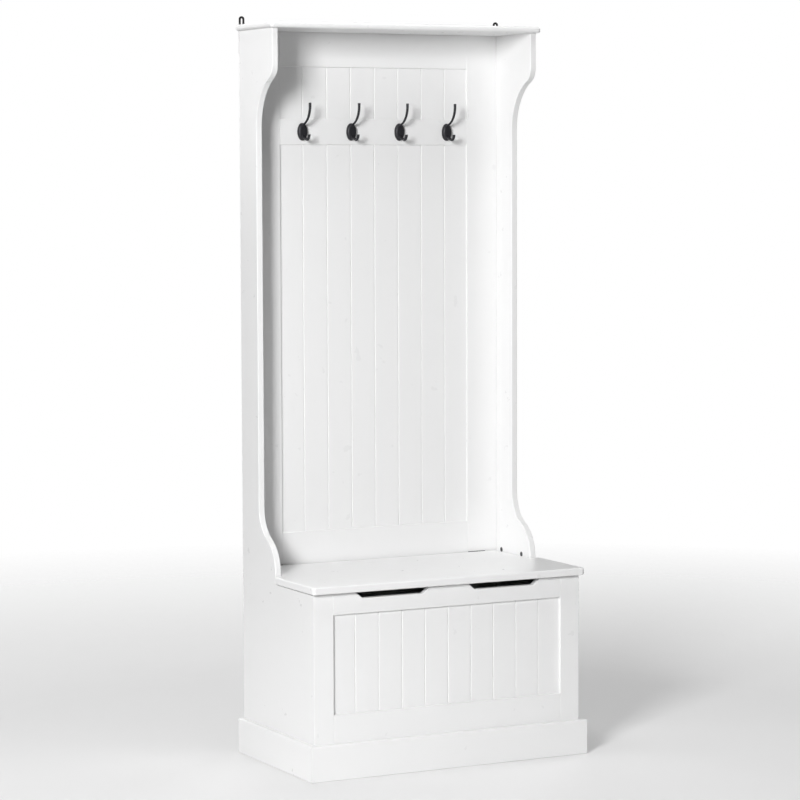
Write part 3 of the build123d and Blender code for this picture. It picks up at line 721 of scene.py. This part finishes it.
def studio_lamps(settings):
    """Name, direction left of the front, rise, distance, aim above the middle, width, height, power."""
    turn = math.radians
    rim = settings.rim_power
    return (
        ("key_light", settings.key_angle, settings.key_rise, 5.0, 0.35, 1.1, 1.4, settings.key_power),
        ("top_light", turn(5), turn(82), 3.0, 0.0, 2.4, 1.8, settings.top_power),
        ("left_light", turn(145), turn(20), 5.0, 0.0, 2.5, 2.5, rim),
        ("right_light", turn(-112), turn(20), 5.0, 0.0, 2.5, 2.5, rim * 1.5),
        ("fill_light", turn(-20), turn(10), 5.0, 0.0, 3.0, 3.0, settings.fill_power),
        ("back_light", turn(-170), turn(20), 5.0, 0.0, 3.0, 3.0, settings.back_power),
    )


def add_light(middle, name, angle, rise, distance, lift, width, height, power):
    """A soft rectangular light that stands off in a direction and faces the object."""
    way = Vector((
        -math.sin(angle) * math.cos(rise), -math.cos(angle) * math.cos(rise), math.sin(rise),
    ))
    data = bpy.data.lights.new(name, "AREA")
    data.shape = "RECTANGLE"
    data.size = width
    data.size_y = height
    data.energy = power
    light = bpy.data.objects.new(name, data)
    bpy.context.scene.collection.objects.link(light)
    light.location = middle + Vector((0.0, 0.0, lift)) + way * distance
    light.rotation_euler = (-way).to_track_quat("-Z", "Y").to_euler()


def add_camera(settings):
    """The camera, turned from straight ahead by its yaw, pitch and roll."""
    data = bpy.data.cameras.new("camera")
    data.lens = settings.lens
    data.sensor_width = 36.0
    data.clip_end = 100.0
    camera = bpy.data.objects.new("camera", data)
    bpy.context.scene.collection.objects.link(camera)
    turn = (
        Matrix.Rotation(-settings.camera_yaw, 4, "Z")
        @ Matrix.Rotation(math.pi / 2 + settings.camera_pitch, 4, "X")
        @ Matrix.Rotation(settings.camera_roll, 4, "Z")
    )
    camera.matrix_world = Matrix.Translation(settings.camera_place) @ turn
    bpy.context.scene.camera = camera


# ---- operators ----
class HALLTREE_OT_paint_boards(Operator):
    """Paint every board of the cabinet and the lid"""

    bl_idname = "halltree.paint_boards"
    bl_label = "Paint Boards"

    def execute(self, context):
        paint = paint_material(context.scene.hall_paint)
        for name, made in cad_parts.items():
            if made.data.materials[0].name.startswith("white_paint"):
                coat_node(name, paint)
        return {"FINISHED"}


class HALLTREE_OT_coat_iron(Operator):
    """Coat the hinges and the wall plates black"""

    bl_idname = "halltree.coat_iron"
    bl_label = "Coat Hinges and Wall Plates"

    def execute(self, context):
        iron = iron_material(context.scene.hall_iron)
        for name in BLACK_PARTS:
            coat_node(name, iron)
        return {"FINISHED"}


class HALLTREE_OT_finish_joinery(Operator):
    """Give the hidden dowels and cam bolts their wood and steel"""

    bl_idname = "halltree.finish_joinery"
    bl_label = "Finish Dowels and Bolts"

    def execute(self, context):
        beech = beech_material()
        for name in DOWELS:
            coat_node(name, beech)
        steel = metal_material(
            "zinc_steel", (0.50, 0.50, 0.49, 1.0), (0.66, 0.66, 0.67, 1.0), 0.36, (1.0, 6.0, 6.0)
        )
        for name in BOLTS:
            coat_node(name, steel)
        return {"FINISHED"}


class HALLTREE_OT_hang_hooks(Operator):
    """Cast the four coat hooks and hang them on the hook rail"""

    bl_idname = "halltree.hang_hooks"
    bl_label = "Hang Coat Hooks"

    def execute(self, context):
        settings = context.scene.hall_hook
        iron = bpy.data.materials["black_metal"]
        low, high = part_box(HOOKS[0])
        cast = hook_mesh(settings, high.x - low.x)
        rail_low, rail_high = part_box("hook_rail")
        for name in HOOKS:
            low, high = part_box(name)
            mesh = cast.copy()
            mesh.name = "cast_" + name
            seat = Vector(((low.x + high.x) / 2, rail_low.y, (rail_low.z + rail_high.z) / 2))
            mesh.transform(Matrix.Translation(seat))
            mesh.materials.clear()
            mesh.materials.append(iron)
            made = link_mesh("cast_" + name, mesh)
            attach(made, "cabinet")
            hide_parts(name)
        return {"FINISHED"}


class HALLTREE_OT_drive_screws(Operator):
    """Make the heads of all the screws"""

    bl_idname = "halltree.drive_screws"
    bl_label = "Drive Screws"

    def execute(self, context):
        settings = context.scene.hall_fastener
        iron = bpy.data.materials["black_metal"]
        steel = bpy.data.materials["zinc_steel"]
        groups = (
            ("hook_screws", "cabinet", iron, (0, -1, 0), 0.0015),
            ("plate_screws", "cabinet", iron, (0, 1, 0), 0.0012),
            ("top_screws", "cabinet", steel, (0, 0, 1), 0.003),
            ("frame_hinge_screws", "cabinet", iron, (0, -1, 0), 0.001),
            ("lid_hinge_screws", "lid", iron, (0, 1, 0), 0.001),
        )
        for name, body, material, facing, height in groups:
            boxes = islands(name)
            low, high = boxes[0]
            flat = [i for i in range(3) if not facing[i]]
            radius = max(high[i] - low[i] for i in flat) / 2
            places = [(face_point(*corners, facing), facing) for corners in boxes]
            sizes = {
                "Radius": radius, "Height": height, "Dome": height * settings.dome_share,
                "Recess Length": 2 * radius * settings.recess_share,
                "Recess Width": settings.recess_width, "Recess Depth": height * 0.6,
                "Seed": settings.seed,
            }
            make_fasteners(name + "_heads", body, name, places, material, sizes)
        return {"FINISHED"}


class HALLTREE_OT_turn_cams(Operator):
    """Make the cam locks in the sides, the back and the floor"""

    bl_idname = "halltree.turn_cams"
    bl_label = "Turn Cam Locks"

    def execute(self, context):
        settings = context.scene.hall_fastener
        zinc = metal_material(
            "dark_zinc", (0.10, 0.10, 0.105, 1.0), (0.20, 0.20, 0.205, 1.0), 0.45, (1.0, 1.0, 1.0)
        )
        for name in ("seat_cam_locks", "back_cam_locks", "box_cam_locks"):
            places = []
            for low, high in islands(name):
                size = high - low
                thin = min(range(3), key=lambda i: size[i])
                middle = (low + high) / 2
                outward = (-math.copysign(1, middle.x), 1, -1)[thin]
                facing = [outward if i == thin else 0 for i in range(3)]
                places.append((face_point(low, high, facing), facing))
                radius, height = max(size) / 2, size[thin]
            sizes = {
                "Radius": radius, "Height": height, "Dome": 0.0,
                "Rim Width": radius * 0.14, "Rim Depth": 0.0006,
                "Recess Length": radius * 1.2, "Recess Width": radius * 0.24, "Recess Depth": 0.003,
                "Seed": settings.seed,
            }
            make_fasteners(name + "_faces", "cabinet", name, places, zinc, sizes)
        return {"FINISHED"}


class HALLTREE_OT_stick_pads(Operator):
    """Stick the soft pads that the lid rests on"""

    bl_idname = "halltree.stick_pads"
    bl_label = "Stick Lid Pads"

    def execute(self, context):
        rubber = rubber_material()
        boxes = islands("lid_bumpers")
        low, high = boxes[0]
        facing = (0, 0, 1)
        places = [(face_point(*corners, facing), facing) for corners in boxes]
        height = high.z - low.z
        sizes = {
            "Radius": (high.x - low.x) / 2, "Height": height, "Dome": height * 0.45,
            "Recess Depth": 0.0, "Seed": context.scene.hall_fastener.seed,
        }
        make_fasteners("lid_pads", "cabinet", "lid_bumpers", places, rubber, sizes)
        return {"FINISHED"}


class HALLTREE_OT_set_stage(Operator):
    """Lay the floor and set up the lights and the camera"""

    bl_idname = "halltree.set_stage"
    bl_label = "Set Stage"

    def execute(self, context):
        settings = context.scene.hall_stage
        low, high = CAD_BOX
        middle = (low + high) / 2
        lay_floor(settings, low.z)
        raise_backdrop(middle)
        for lamp in studio_lamps(settings):
            add_light(middle, *lamp)
        world = bpy.data.worlds.new("studio_air")
        world.use_nodes = True
        world.node_tree.nodes["Background"].inputs["Color"].default_value = (1.0, 1.0, 1.0, 1.0)
        world.node_tree.nodes["Background"].inputs["Strength"].default_value = settings.ambient
        context.scene.world = world
        context.scene.view_settings.view_transform = "Standard"
        add_camera(settings)
        return {"FINISHED"}


class HALLTREE_PT_sidebar(Panel):
    """The steps of the hall tree, in order"""

    bl_label = "Hall Tree"
    bl_idname = "HALLTREE_PT_sidebar"
    bl_space_type = "VIEW_3D"
    bl_region_type = "UI"
    bl_category = "Hall Tree"

    def draw(self, context):
        for step in STEPS:
            self.layout.operator(step.bl_idname)


SETTINGS = {
    "hall_paint": PaintSettings,
    "hall_iron": IronSettings,
    "hall_hook": HookSettings,
    "hall_fastener": FastenerSettings,
    "hall_stage": StageSettings,
}
STEPS = (
    HALLTREE_OT_paint_boards,
    HALLTREE_OT_coat_iron,
    HALLTREE_OT_finish_joinery,
    HALLTREE_OT_hang_hooks,
    HALLTREE_OT_drive_screws,
    HALLTREE_OT_turn_cams,
    HALLTREE_OT_stick_pads,
    HALLTREE_OT_set_stage,
)


def register():
    """Make the settings, operators and panel known to Blender."""
    for cls in (*SETTINGS.values(), *STEPS, HALLTREE_PT_sidebar):
        bpy.utils.register_class(cls)
    for name, cls in SETTINGS.items():
        setattr(bpy.types.Scene, name, PointerProperty(type=cls))


def unregister():
    """Take them away again."""
    for name in SETTINGS:
        delattr(bpy.types.Scene, name)
    for cls in reversed((*SETTINGS.values(), *STEPS, HALLTREE_PT_sidebar)):
        bpy.utils.unregister_class(cls)


def main():
    """Build everything in order."""
    register()
    for step in STEPS:
        group, action = step.bl_idname.split(".")
        getattr(getattr(bpy.ops, group), action)()


if __name__ == "__main__":
    main()
